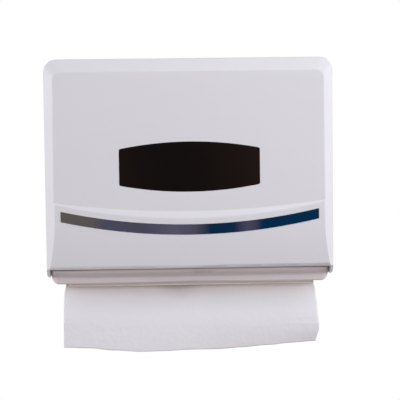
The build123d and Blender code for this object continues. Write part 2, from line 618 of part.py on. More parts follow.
    # cheeks beside the towels and the hinge ears that they carry
    cheek_top = -62.0
    cheek = [(-86.5, edge), (-88.0, -80.0), (-84.0, -66.0), (-70.0, cheek_top)]
    cheek += [(-PLATE, cheek_top), (-PLATE, edge)]
    ear_back, ear_low, ear_high = -74.0, HINGE_Z - 3.3, HINGE_Z + EAR_RADIUS
    ear_strip = [(HINGE_Y, ear_low), (HINGE_Y, ear_high), (ear_back, ear_high), (ear_back, ear_low)]
    ear_middle = Pos((EAR_INNER + EAR_OUTER) / 2, HINGE_Y, HINGE_Z)
    ear_disc = ear_middle * Rot(0, 90, 0) * Cylinder(EAR_RADIUS, EAR_OUTER - EAR_INNER)
    side = yz_prism(cheek, 121.8, 124.3) + yz_prism(ear_strip, EAR_INNER, EAR_OUTER) + ear_disc
    tray += mirrored(side)
    bore_length = 2 * (EAR_OUTER - PIN_ENDS[0])
    pin_bore = Pos(EAR_OUTER, HINGE_Y, HINGE_Z) * Rot(0, 90, 0) * Cylinder(PIN_RADIUS, bore_length)
    tray -= mirrored(pin_bore)
    for x, z in TRAY_SCREWS:
        tray -= countersink(x, z)
    return tray


def side_guide():
    """Right-hand upright guide that keeps the towels central, flared at its front edge."""
    fin = block(GUIDE_FACE, GUIDE_FACE + 2.0, -62.0, -PLATE, GUIDE_BOTTOM, GUIDE_TOP)
    flare = make_face(
        Polyline(
            (GUIDE_FACE, -62.0, GUIDE_BOTTOM), (GUIDE_FACE + 2.0, -62.0, GUIDE_BOTTOM),
            (GUIDE_FACE + 6.0, -72.0, GUIDE_BOTTOM), (GUIDE_FACE + 4.2, -72.8, GUIDE_BOTTOM), close=True,
        )
    )
    fin += extrude(flare, amount=GUIDE_TOP - GUIDE_BOTTOM, dir=(0, 0, 1))
    foot = block(GUIDE_FACE, 129.0, FLANGE_FRONT, -PLATE, GUIDE_BOTTOM, GUIDE_TOP)
    guide = fin + foot
    # the front corners are sloped so that a new stack slides in
    guide -= yz_prism([(-80.0, 70.0), (-80.0, 30.0), (-44.0, 66.0)], 110.0, 130.0)
    for z in GUIDE_SCREW_Z:
        guide -= countersink(GUIDE_SCREW_X, z)
    return guide


def strike_bracket():
    """Folded steel bracket: a foot on the back plate, a shelf, and an upturned lip that stops the cam."""
    thick = STRIKE_THICKNESS
    shelf_z = 79.0
    lip_y = LOCK_Y - CAM_WIDTH / 2 - 3.0
    shelf = block(-28.0, -11.5, lip_y, -PLATE, shelf_z, shelf_z + thick)
    lip = block(-28.0, -11.5, lip_y, lip_y + thick, shelf_z, 91.0)
    foot = block(-36.0, -3.0, -PLATE - thick, -PLATE, 61.0, shelf_z + thick)
    web_front = lip_y + 4.0
    web_back = -PLATE - thick
    web_side = [(web_back, shelf_z), (web_back, shelf_z - 12.0)]
    web_side += [(web_front, shelf_z - 2.0), (web_front, shelf_z)]
    web = yz_prism(web_side, -28.0, -28.0 + thick)
    bracket = shelf + lip + foot + web
    for x, z in STRIKE_SCREWS:
        bracket -= rod(x, z, -PLATE - 3, 0, SCREW_HOLE)
    return bracket


def pan_screw(x, z):
    """Pan-headed screw that holds the strike bracket's foot."""
    seat_y = -PLATE - STRIKE_THICKNESS
    top_y = seat_y - PAN_HEAD
    head = rod(x, z, top_y, seat_y, SCREW_HEAD)
    head = chamfer(head.edges().group_by(Axis.Y)[0], PAN_HEAD / 3)
    return head - cross_recess(x, z, top_y) + rod(x, z, seat_y, seat_y + PAN_SHANK, SCREW_RADIUS)


def hinge_pin():
    """Right-hand steel pin, pressed in the tray's ear and free in the cover's boss."""
    start, end = PIN_ENDS
    pin = Pos((start + end) / 2, HINGE_Y, HINGE_Z) * Rot(0, 90, 0) * Cylinder(PIN_RADIUS, end - start)
    return chamfer(pin.edges().filter_by(GeomType.CIRCLE), 0.4)


# ------------------------------------------------------------------ towels
def towel_stack():
    """Folded towels on the tray's ledges, with rounded folds in front and behind."""
    half = TOWEL_WIDTH / 2
    stack = block(-half, half, STACK_FRONT, STACK_BACK, FLOOR_Z, STACK_TOP)
    return fillet(stack.edges().filter_by(Axis.X), 3.0)


TOWEL_ROUTE = [(-50.0, FLOOR_Z), (-50.0, -96.2), (-97.4, -134.2), (-97.4, -166.0)]
TOWEL_BENDS = [14.0, 34.0]
TOWEL_THICKNESS = 1.6


def hanging_towel():
    """The next towel, still folded, let down through the mouth and bent forward under the skirt."""
    route = FilletPolyline(*[(0, y, z) for y, z in TOWEL_ROUTE], radius=TOWEL_BENDS)
    start_y, start_z = TOWEL_ROUTE[0]
    section = Pos(0, start_y, start_z) * Rectangle(TOWEL_WIDTH, TOWEL_THICKNESS)
    return sweep(section, path=route, transition=Transition.RIGHT)


def screws_at(points, maker):
    """The same screw at several places, kept as separate solids."""
    return Compound(children=[maker(x, z) for x, z in points])


def main():
    """Builds every piece and writes one file for each."""
    guide = side_guide()
    pin = hinge_pin()
    pieces = {
        "front_cover": front_cover(),
        "window_lens": window_lens(),
        "lens_retainers": lens_retainers(),
        "trim_strip": trim_strip(),
        "strip_push_nuts": strip_push_nuts(),
        "lock_housing": lock_housing(),
        "lock_washer": lock_washer(),
        "lock_nut": lock_nut(),
        "lock_plug": lock_plug(),
        "lock_cam": lock_cam(),
        "cam_screw": cam_screw(),
        "back_plate": back_plate(),
        "towel_tray": towel_tray(),
        "tray_screws": screws_at(TRAY_SCREWS, countersunk_screw),
        "right_towel_guide": guide,
        "left_towel_guide": mirror(guide, Plane.YZ),
        "guide_screws": screws_at(GUIDE_SCREWS, countersunk_screw),
        "strike_bracket": strike_bracket(),
        "strike_screws": screws_at(STRIKE_SCREWS, pan_screw),
        "right_hinge_pin": pin,
        "left_hinge_pin": mirror(pin, Plane.YZ),
        "towel_stack": towel_stack(),
        "hanging_towel": hanging_towel(),
    }
    os.makedirs("parts", exist_ok=True)
    for name, shape in pieces.items():
        export_step(shape, f"parts/{name}.step")
        print(f"{name}: {sum(s.volume for s in shape.solids()):.0f} mm3, {len(shape.solids())} solid(s)")


if __name__ == "__main__":
    main()
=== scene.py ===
"""Dresses the folded-towel dispenser: its finishes, its paper, the lamps and the camera.

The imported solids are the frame. Rigid pieces keep their solids and get a finish here. The towels,
which are soft, are modelled here: the leading one as a folded sheet, the refill as its layers.
Lengths are metres in the frame of the solids: +X right, +Y into the wall, +Z up.
"""

from __future__ import annotations

import json
import logging
import math
from dataclasses import dataclass, field
from enum import Enum

import bpy
from mathutils import Matrix, Vector

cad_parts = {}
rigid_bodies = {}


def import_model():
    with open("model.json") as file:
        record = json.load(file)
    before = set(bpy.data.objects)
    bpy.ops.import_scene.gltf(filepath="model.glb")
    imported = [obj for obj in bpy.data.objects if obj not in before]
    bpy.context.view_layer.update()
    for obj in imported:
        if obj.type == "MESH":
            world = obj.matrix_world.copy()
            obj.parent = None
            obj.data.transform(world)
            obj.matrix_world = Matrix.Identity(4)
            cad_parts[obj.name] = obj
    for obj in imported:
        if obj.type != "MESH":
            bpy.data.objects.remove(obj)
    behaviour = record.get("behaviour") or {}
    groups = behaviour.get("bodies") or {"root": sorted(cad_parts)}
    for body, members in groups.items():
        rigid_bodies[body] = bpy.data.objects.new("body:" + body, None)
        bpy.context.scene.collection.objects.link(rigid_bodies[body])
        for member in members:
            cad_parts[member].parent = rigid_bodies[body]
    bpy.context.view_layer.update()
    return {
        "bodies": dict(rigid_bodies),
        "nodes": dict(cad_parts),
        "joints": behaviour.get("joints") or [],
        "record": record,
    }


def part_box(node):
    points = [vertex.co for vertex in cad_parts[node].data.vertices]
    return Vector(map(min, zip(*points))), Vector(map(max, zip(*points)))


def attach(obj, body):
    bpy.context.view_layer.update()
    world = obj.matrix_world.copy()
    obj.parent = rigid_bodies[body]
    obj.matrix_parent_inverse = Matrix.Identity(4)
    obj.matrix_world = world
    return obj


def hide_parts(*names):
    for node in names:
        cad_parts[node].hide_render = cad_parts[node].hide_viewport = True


LOG = logging.getLogger("dispenser")
MM = 0.001
# the colour sockets of a Mix node and the number sockets of a Random Value node
MIX_FIRST, MIX_SECOND, MIX_RESULT = 6, 7, 2
RANDOM_LOW, RANDOM_HIGH, RANDOM_VALUE = 2, 3, 1


class Body(Enum):
    """The rigid bodies that the pieces made here ride on."""

    BASE = "base"
    COVER = "cover"


class Slot(Enum):
    """The record's material slots."""

    SHELL = "shell"
    BASE = "base"
    LENS = "lens"
    TRIM = "trim"
    LOCK = "lock"
    STEEL = "steel"
    PAPER = "paper"


# ------------------------------------------------------------------ shader maths
class Wire:
    """A shader socket that can be used in an expression; each operation adds one Math node."""

    def __init__(self, board: "Board", socket: bpy.types.NodeSocket) -> None:
        """Wraps one output socket.

        Args:
            board: The node tree that the socket belongs to.
            socket: The output socket.
        """
        self.board = board
        self.socket = socket

    def _math(self, operation: str, first: object, second: object) -> "Wire":
        """One Math node on two values or wires."""
        return self.board.add("ShaderNodeMath", {"operation": operation}, {0: first, 1: second})

    def __add__(self, other: object) -> "Wire":
        """self + other"""
        return self._math("ADD", self, other)

    def __radd__(self, other: object) -> "Wire":
        """other + self"""
        return self._math("ADD", other, self)

    def __sub__(self, other: object) -> "Wire":
        """self - other"""
        return self._math("SUBTRACT", self, other)

    def __rsub__(self, other: object) -> "Wire":
        """other - self"""
        return self._math("SUBTRACT", other, self)

    def __mul__(self, other: object) -> "Wire":
        """self * other"""
        return self._math("MULTIPLY", self, other)

    def __truediv__(self, other: object) -> "Wire":
        """self / other"""
        return self._math("DIVIDE", self, other)


class Board:
    """A material's node tree with short ways to add nodes."""

    def __init__(self, name: str) -> None:
        """Makes an empty material with a Principled BSDF and its output.

        Args:
            name: The material's name.
        """
        self.material = bpy.data.materials.new(name)
        self.material.use_nodes = True
        self.tree = self.material.node_tree
        self.tree.nodes.clear()
        self.shader = self.tree.nodes.new("ShaderNodeBsdfPrincipled")
        self.output = self.tree.nodes.new("ShaderNodeOutputMaterial")
        self.tree.links.new(self.shader.outputs[0], self.output.inputs["Surface"])
        self._place: Wire | None = None

    def add(
        self,
        kind: str,
        settings: dict[str, object] | None = None,
        inputs: dict[object, object] | None = None,
        output: object = 0,
    ) -> Wire:
        """Adds one node of any type.

        Args:
            kind: The node's type.
            settings: Properties, which are set first. A ramp's stops go under "stops".
            inputs: Values or wires by socket name or number.
            output: The name or number of the output to return.

        Returns:
            The chosen output as a wire.
        """
        node = self.tree.nodes.new(kind)
        for key, value in (settings or {}).items():
            if key == "stops":
                self._set_stops(node.color_ramp, value)
            else:
                setattr(node, key, value)
        for key, value in (inputs or {}).items():
            self.plug(node.inputs[key], value)
        return Wire(self, node.outputs[output])

    def _set_stops(self, ramp: bpy.types.ColorRamp, stops: tuple) -> None:
        """Gives a new ramp its stops.

        Args:
            ramp: A ramp that still has its first two stops.
            stops: Pairs of a position and a colour, at least two.
        """
        while len(ramp.elements) < len(stops):
            ramp.elements.new(0.5)
        for element, (position, colour) in zip(ramp.elements, stops):
            element.position = position
            element.color = (*colour, 1.0)

    def plug(self, socket: bpy.types.NodeSocket, value: object) -> None:
        """Feeds a socket.

        Args:
            socket: The socket.
            value: A wire, which is linked to it, or a plain value for it.
        """
        if isinstance(value, Wire):
            self.tree.links.new(value.socket, socket)
        else:
            socket.default_value = value

    def place(self) -> Wire:
        """Object coordinates, in metres in the frame of the solids."""
        if self._place is None:
            self._place = self.add("ShaderNodeTexCoord", output="Object")
        return self._place

    def noise(self, scale: float, detail: float = 2.0, stretch: tuple = (1, 1, 1)) -> Wire:
        """Noise from 0 to 1 that follows the piece, with features of about 1 / scale metres."""
        vector = self.add(
            "ShaderNodeVectorMath", {"operation": "MULTIPLY"}, {0: self.place(), 1: stretch}
        )
        return self.add(
            "ShaderNodeTexNoise", None, {"Vector": vector, "Scale": scale, "Detail": detail}, "Fac"
        )

    def mix(self, factor: Wire, first: tuple, second: tuple) -> Wire:
        """A colour between two, by a factor from 0 to 1."""
        colours = {MIX_FIRST: (*first, 1.0), MIX_SECOND: (*second, 1.0)}
        return self.add("ShaderNodeMix", {"data_type": "RGBA"}, {0: factor, **colours}, MIX_RESULT)

    def axis(self, letter: str) -> Wire:
        """One of the object coordinates, in metres."""
        return self.add("ShaderNodeSeparateXYZ", None, {0: self.place()}, letter)

    def banded(self, colour: Wire, bands: tuple, factor: object = 1.0) -> Wire:
        """Paints light and shade into a colour by height.

        Args:
            colour: The plain colour.
            bands: Pairs of a height in metres and the painted light there, from the lowest up.
            factor: How much of the painted light is taken, from 0 to 1.

        Returns:
            The colour with its painted light and shade.
        """
        low = bands[0][0]
        whole = bands[-1][0] - low
        stops = tuple(((level - low) / whole, painted_light) for level, painted_light in bands)
        rise = (self.axis("Z") - low) / whole
        painted_light = self.add("ShaderNodeValToRGB", {"stops": stops}, {0: rise})
        return self.add(
            "ShaderNodeMix",
            {"data_type": "RGBA", "blend_type": "MULTIPLY"},
            {0: factor, MIX_FIRST: colour, MIX_SECOND: painted_light},
            MIX_RESULT,
        )

    def bump(self, height: Wire, depth: float) -> None:
        """Feeds a bump of the given depth, in metres, into the shader's normal."""
        inputs = {"Height": height, "Distance": depth, "Strength": 1.0}
        self.plug(self.shader.inputs["Normal"], self.add("ShaderNodeBump", None, inputs))

    def set(self, **sockets: object) -> None:
        """Sets the shader's sockets; an underscore stands for a space in a socket's name."""
        for name, value in sockets.items():
            self.plug(self.shader.inputs[name.replace("_", " ")], value)


# ------------------------------------------------------------------ finishes
@dataclass(frozen=True)
class MouldedPlastic:
    """Moulded ABS: a faint flow pattern in the colour and a fine spark-eroded grain.

    The colour may carry painted light by bands of height too, as the tray's does round its mouth.
    """

    name: str
    colour: tuple[float, float, float]
    roughness: float
    grain_depth: float = 12e-6
    coat: float = 0.0
    # painted light and shade by height, such as the highlight on the tray's bead
    bands: tuple = ()
    flow_scale: float = 9.0
    flow_shade: float = 0.965
    handling_scale: float = 34.0
    handling_swing: float = 0.12
    grain_scale: float = 1500.0

    def make(self) -> bpy.types.Material:
        """Builds the material."""
        board = Board(self.name)
        flow = board.noise(self.flow_scale, detail=3.0, stretch=(1.0, 0.6, 2.2))
        shade = tuple(value * self.flow_shade for value in self.colour)
        handling = board.noise(self.handling_scale, detail=4.0)
        grain = board.noise(self.grain_scale, detail=3.0)
        colour = board.mix(flow, shade, self.colour)
        board.set(
            # the bands, if given, paint light and shade into the colour by height
            Base_Color=board.banded(colour, self.bands) if self.bands else colour,
            Roughness=self.roughness + (handling - 0.5) * self.handling_swing,
            Coat_Weight=self.coat,
            Coat_Roughness=0.18,
            IOR=1.5,
        )
        board.bump(grain + handling * 0.6, self.grain_depth)
        return board.material


@dataclass(frozen=True)
class SmokedPane:
    """Tinted see-through plastic with wiping marks, and a painted sheen that makes it a little paler
    and redder towards its ends.

    The share of the painted sheen's colour rises with the square of the distance from the middle, and
    more towards the right.
    """

    name: str
    colour: tuple[float, float, float]
    painted_sheen_colour: tuple[float, float, float]
    ends_per_m2: float = 120.0
    right_per_m: float = 3.4
    mottle: float = 0.25

    def make(self) -> bpy.types.Material:
        """Builds the material."""
        board = Board(self.name)
        wiping = board.noise(70.0, detail=4.0, stretch=(0.25, 1.0, 2.6))
        across = board.axis("X")
        # painted sheen: paler and redder towards the ends, more so on the right
        drift = across * across * self.ends_per_m2 + across * self.right_per_m
        sheen = drift + board.noise(14.0) * self.mottle
        board.set(
            Base_Color=board.mix(sheen, self.colour, self.painted_sheen_colour),
            Roughness=0.16 + wiping * 0.1,
            Alpha=0.985,
            IOR=1.49,
            Specular_IOR_Level=0.05,
        )
        board.bump(wiping, 6e-6)
        return board.material


# the foil's painted reflection of a room, brown through violet to deep blue,
# from its left end, 0, to its right end, 1
BROWN_RUN = ((0.00, (0.102, 0.087, 0.082)), (0.12, (0.100, 0.083, 0.085)))
VIOLET_RUN = (
    (0.17, (0.066, 0.066, 0.106)),
    (0.32, (0.062, 0.060, 0.094)),
    (0.44, (0.090, 0.085, 0.136)),
    (0.52, (0.067, 0.063, 0.096)),
)
BLUE_RUN = ((0.58, (0.003, 0.021, 0.055)), (0.67, (0.006, 0.021, 0.056)))
VIOLET_PATCH = ((0.72, (0.060, 0.056, 0.096)), (0.75, (0.048, 0.050, 0.090)))
BLUE_END = ((0.78, (0.002, 0.022, 0.063)), (1.00, (0.002, 0.024, 0.067)))
FOIL_PAINTED_REFLECTION = BROWN_RUN + VIOLET_RUN + BLUE_RUN + VIOLET_PATCH + BLUE_END


@dataclass(frozen=True)
class PaintedReflectionFoil:
    """Dark mirror strip with a painted reflection that runs from brown through violet to deep blue.
    """

    name: str
    left_end: float
    right_end: float
    wander: float = 0.02

    def make(self) -> bpy.types.Material:
        """Builds the material."""
        board = Board(self.name)
        along = (board.axis("X") - self.left_end) / (self.right_end - self.left_end)
        wander = (board.noise(22.0, detail=3.0) - 0.5) * self.wander
        # the colour along the strip is a painted reflection
        painted_light = board.add("ShaderNodeValToRGB", {"stops": FOIL_PAINTED_REFLECTION}, {0: along + wander})
        drawn = board.noise(420.0, stretch=(0.05, 1.0, 1.0))
        board.set(Base_Color=painted_light, Metallic=1.0, Roughness=0.20 + drawn * 0.12)
        board.bump(drawn, 4e-6)
        return board.material


@dataclass(frozen=True)
class PlatedSteel:
    """Zinc-plated or chromed steel with fine drawn lines and a cloudy plating."""

    name: str
    colour: tuple[float, float, float]
    roughness: float
    dullness: float = 0.82

    def make(self) -> bpy.types.Material:
        """Builds the material."""
        board = Board(self.name)
        cloud = board.noise(160.0, detail=3.0)
        drawn = board.noise(900.0, stretch=(0.08, 1.0, 1.0))
        dull = tuple(value * self.dullness for value in self.colour)
        board.set(
            Base_Color=board.mix(cloud, dull, self.colour),
            Metallic=1.0,
            Roughness=self.roughness + drawn * 0.1,
        )
        board.bump(drawn, 5e-6)
        return board.material


@dataclass(frozen=True)
class TowelPaper:
    """Bleached tissue with its embossed cells, crepe lines and loose fibres.

    Just below the tray its colour holds painted shade and painted warm bounce light: darker and
    warmer by bands of height, less so at the towel's ends.
    """

    name: str
    colour: tuple[float, float, float]
    half_width: float = 0.119
    end_relief: float = 0.75
    cloud_shade: float = 0.955
    cells_per_metre: float = 260.0
    emboss: float = 0.17 * MM
    # painted shade and painted warm bounce light below the tray, by height
    bands: tuple = (
        (-0.1500, (1.00, 1.000, 1.000)),
        (-0.1340, (0.94, 0.935, 0.935)),
        (-0.1220, (0.85, 0.850, 0.830)),
        (-0.1150, (0.83, 0.790, 0.745)),
        (-0.1110, (0.92, 0.855, 0.780)),
        (-0.1085, (1.00, 0.940, 0.820)),
        (-0.1000, (1.00, 0.940, 0.820)),
        (-0.0955, (1.00, 1.000, 1.000)),
    )

    def make(self) -> bpy.types.Material:
        """Builds the material."""
        board = Board(self.name)
        fibre = board.noise(900.0, detail=5.0)
        crepe = board.noise(520.0, stretch=(0.18, 1.0, 1.0))
        cloud = board.noise(26.0, detail=3.0)
        cells = board.add(
            "ShaderNodeTexVoronoi",
            {"feature": "SMOOTH_F1"},
            {"Vector": board.place(), "Scale": self.cells_per_metre, "Smoothness": 0.6},
            "Distance",
        )
        shade = tuple(value * self.cloud_shade for value in self.colour)
        plain = board.mix(cloud * 0.6 + fibre * 0.4, shade, self.colour)
        across = board.axis("X")
        share = across * across * (1.0 / self.half_width**2)
        near_end = share * share * (share * share)
        board.set(
            # painted shade below the tray, taken less near the towel's ends
            Base_Color=board.banded(plain, self.bands, 1.0 - near_end * self.end_relief),
            Roughness=0.86 + fibre * 0.1,
            Sheen_Weight=0.12,
            IOR=1.4,
        )
        rumple = board.noise(150.0, detail=3.0, stretch=(0.7, 1.0, 1.3))
        board.bump(crepe * 0.4 + fibre * 0.3 + cells * 0.8 + rumple * 1.6, self.emboss)
        return board.material


# the tray's colour by height: a painted highlight on the bead below the mouth,
# and painted light that lifts the shade at the skirt's upper edge
BEAD_PAINTED_HIGHLIGHT = (1.00, 0.99, 0.87)
SKIRT_TINT = (0.747, 0.736, 0.736)
UPPER_EDGE_PAINTED_LIGHT = (0.95, 0.95, 0.95)
TRAY_PAINTED_LIGHT_BANDS = (
    (-0.1092, BEAD_PAINTED_HIGHLIGHT),
    (-0.1082, SKIRT_TINT),
    (-0.0975, SKIRT_TINT),
    (-0.0960, UPPER_EDGE_PAINTED_LIGHT),
    (-0.0942, UPPER_EDGE_PAINTED_LIGHT),
    (-0.0935, SKIRT_TINT),
)


@dataclass
class Finishes:
    """Every material that the object uses, built once."""

    made: dict[Slot, bpy.types.Material] = field(default_factory=dict)

    def build(self) -> None:
        """Builds one material for each slot."""
        recipes = {
            Slot.SHELL: MouldedPlastic("white_shell", (0.706, 0.701, 0.760), 0.42, coat=0.06),
            # the base's pinkish cast is partly painted warm bounce light; its bands are painted light
            Slot.BASE: MouldedPlastic(
                "grey_base", (0.910, 0.832, 0.862), 0.55, grain_depth=20e-6, bands=TRAY_PAINTED_LIGHT_BANDS
            ),
            Slot.LENS: SmokedPane("smoked_pane", (0.0022, 0.0012, 0.0008), (0.0140, 0.0062, 0.0054)),
            Slot.TRIM: PaintedReflectionFoil("foil_painted_reflection", left_end=-0.120, right_end=0.120),
            Slot.LOCK: PlatedSteel("lock_chrome", (0.56, 0.57, 0.60), roughness=0.16),
            Slot.STEEL: PlatedSteel("plated_steel", (0.60, 0.60, 0.63), roughness=0.32),
            Slot.PAPER: TowelPaper("towel_paper", (0.790, 0.780, 0.842)),
        }
        self.made = {slot: recipe.make() for slot, recipe in recipes.items()}

    def dress(self, piece: bpy.types.Object, slot: Slot) -> None:
        """Gives a piece one finish on all its faces."""
        piece.data.materials.clear()
        piece.data.materials.append(self.made[slot])


# ------------------------------------------------------------------ mesh helpers
def mesh_piece(name: str, points: list, faces: list, smooth: bool = True) -> bpy.types.Object:
    """Makes an object at the origin from points in metres and faces by index.

    Args:
        name: The piece's name.
        points: Its corners.
        faces: Its faces, by the corners' numbers.
        smooth: Whether its faces are shaded smooth.

    Returns:
        The new object, linked to the scene.
    """
    mesh = bpy.data.meshes.new(name)
    mesh.from_pydata([tuple(point) for point in points], [], faces)
    mesh.update()
    mesh.shade_smooth() if smooth else mesh.shade_flat()
    piece = bpy.data.objects.new(name, mesh)
    bpy.context.scene.collection.objects.link(piece)
    return piece


def tube_faces(rings: int, count: int) -> list[tuple[int, ...]]:
    """Faces of a closed tube: quads from each ring to the next, and a cap at both ends.

    Args:
        rings: How many rings the tube has, whose points follow each other ring by ring.
        count: How many points each ring has.

    Returns:
        The faces, by the points' numbers.
    """
    faces: list[tuple[int, ...]] = []
    for ring in range(rings - 1):
        for index in range(count):
            here, after = ring * count + index, ring * count + (index + 1) % count
            faces.append((here, after, after + count, here + count))
    last = (rings - 1) * count
    return [*faces, tuple(reversed(range(count))), tuple(range(last, last + count))]


def settle(piece: bpy.types.Object) -> bpy.types.Object:
    """Turns a piece's modifiers into plain mesh and removes them.

    Args:
        piece: The piece.

    Returns:
        The same piece.
    """
    graph = bpy.context.evaluated_depsgraph_get()
    mesh = bpy.data.meshes.new_from_object(piece.evaluated_get(graph))
    piece.modifiers.clear()
    old = piece.data
    piece.data = mesh
    bpy.data.meshes.remove(old)
    return piece


def smooth_step(value: float) -> float:
    """0 below 0, 1 above 1, and a smooth rise between."""
    value = min(max(value, 0.0), 1.0)
    return value * value * (3.0 - 2.0 * value)


def bell(value: float, middle: float, spread: float) -> float:
    """A bump of height 1 round the middle that fades over the spread."""
    return math.exp(-(((value - middle) / spread) ** 2))


# ------------------------------------------------------------------ rigid pieces
@dataclass
class RigidPieces:
    """The solids of the frame, with the finish of each."""

    finishes: Finishes

    def dress(self, frame: dict) -> None:
        """Gives every solid the finish of its slot in the record.
        """
        subparts = frame["record"]["subparts"]
        slots = {part["node"]: Slot(part["material_slot"]) for part in subparts}
        for name, node in frame["nodes"].items():
            self.finishes.dress(node, slots[name])
            LOG.info("dressed %s as %s", name, slots[name].value)


@dataclass
class LensFace:
    """The lens's thin outer face plate, whose rim lies over the edge of the window's opening."""

    finishes: Finishes
    half_width: float = 0.0654
    end_top: float = 0.0203
    middle_top: float = 0.0267
    end_foot: float = -0.0135
    middle_foot: float = -0.0199
    corner: float = 1.6 * MM
    panel_y: float = -0.0975
    seated: float = 0.06 * MM
    proud: float = 0.20 * MM
    rim: float = 0.12 * MM
    rim_knee: float = 0.3
    steps: int = 28
    corner_steps: int = 5

    def _arc(self, end: float, middle: float) -> list[Vector]:
        """Points of a circular arc from the left to the right, short of both corners.

        Args:
            end: The arc's height at both ends of the plate.
            middle: Its height in the middle.

        Returns:
            The points, as x and z.
        """
        inner = self.half_width - self.corner
        rise = middle - end
        radius = (self.half_width**2 + rise**2) / (2 * abs(rise))
        points = []
        for index in range(self.steps + 1):
            x = inner * (2 * index / self.steps - 1)
            drop = radius - math.sqrt(radius**2 - x**2)
            points.append(Vector((x, middle - math.copysign(drop, rise))))
        return points

    def _rounded(self, start: Vector, corner: Vector, end: Vector) -> list[Vector]:
        """Points of a rounded corner.

        Args:
            start: Where the rounding starts.
            corner: The sharp corner.
            end: Where the rounding ends.

        Returns:
            The points, both ends among them.
        """
        points = []
        for index in range(self.corner_steps + 1):
            share = index / self.corner_steps
            points.append(start.lerp(corner, share).lerp(corner.lerp(end, share), share))
        return points

    def _outline(self) -> list[Vector]:
        """The plate's outline, anticlockwise as seen from the front.

        Returns:
            The points, as x and z.
        """
        foot = self._arc(self.end_foot, self.middle_foot)
        top = self._arc(self.end_top, self.middle_top)[::-1]
        up = Vector((0.0, self.corner))
        right_foot, right_top = (Vector((self.half_width, z)) for z in (self.end_foot, self.end_top))
        left_foot, left_top = (Vector((-self.half_width, z)) for z in (self.end_foot, self.end_top))
        return [
            *foot[:-1],
            *self._rounded(foot[-1], right_foot, right_foot + up),
            *self._rounded(right_top - up, right_top, top[0]),
            *top[1:-1],
            *self._rounded(top[-1], left_top, left_top - up),
            *self._rounded(left_foot + up, left_foot, foot[0])[:-1],
        ]

    def build(self) -> bpy.types.Object:
        """Builds the plate as a closed solid with a softened front edge.

        Returns:
            The plate.
        """
        outline = self._outline()
        count = len(outline)
        inward = []
        for index, point in enumerate(outline):
            along = (outline[(index + 1) % count] - outline[index - 1]).normalized()
            inward.append(Vector((-along.y, along.x)))
        face_y = self.panel_y - self.proud
        knee = self.rim * self.rim_knee
        rings = [
            (self.panel_y + self.seated, 0.0),
            (face_y + self.rim, 0.0),
            (face_y + knee, knee),
            (face_y, self.rim),
        ]
        points = []
        for y, inset in rings:
            for point, way in zip(outline, inward):
                x, z = point + way * inset
                points.append((x, y, z))
        faces = tube_faces(len(rings), count)
        plate = mesh_piece("window_lens_face", points, faces, smooth=False)
        self.finishes.dress(plate, Slot.LENS)
        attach(plate, Body.COVER.value)
        LOG.info("built %s", plate.name)
        return plate


# ------------------------------------------------------------------ towels
@dataclass(frozen=True)
class Crease:
    """A line pressed into the hanging towel, deepest at one of its ends and fading inwards."""

    end: float  # 1 for the right end, -1 for the left
    height: float  # at that end
    slope: float  # how much higher it is a half width further in
    spread: float
    depth: float
    starts: float  # how far out it starts, as a share of the half width
    grows: float  # over which share from there it deepens

    def reach(self, side: float, z: float) -> float:
        """How far the crease moves the paper forwards.

        Args:
            side: Place across the towel, from -1 to 1.
            z: Height.

        Returns:
            The move, in metres.
        """
        outward = side * self.end
        line = self.height + self.slope * (1.0 - outward)
        faded = smooth_step((outward - self.starts) / self.grows)
        return self.depth * bell(z, line, self.spread) * faded


@dataclass(frozen=True)
class Wave:
    """A wave across the hanging towel, whose phase also drifts down the sheet."""

    depth: float
    turning: float  # radians from the middle to an end
    phase: float
    drift: float  # radians from the mouth to the lower edge

    def reach(self, side: float, fall: float) -> float:
        """How far it moves the paper, from -1 to 1 across and from 0 to 1 down."""
        return self.depth * math.sin(self.turning * side + self.phase + self.drift * fall)


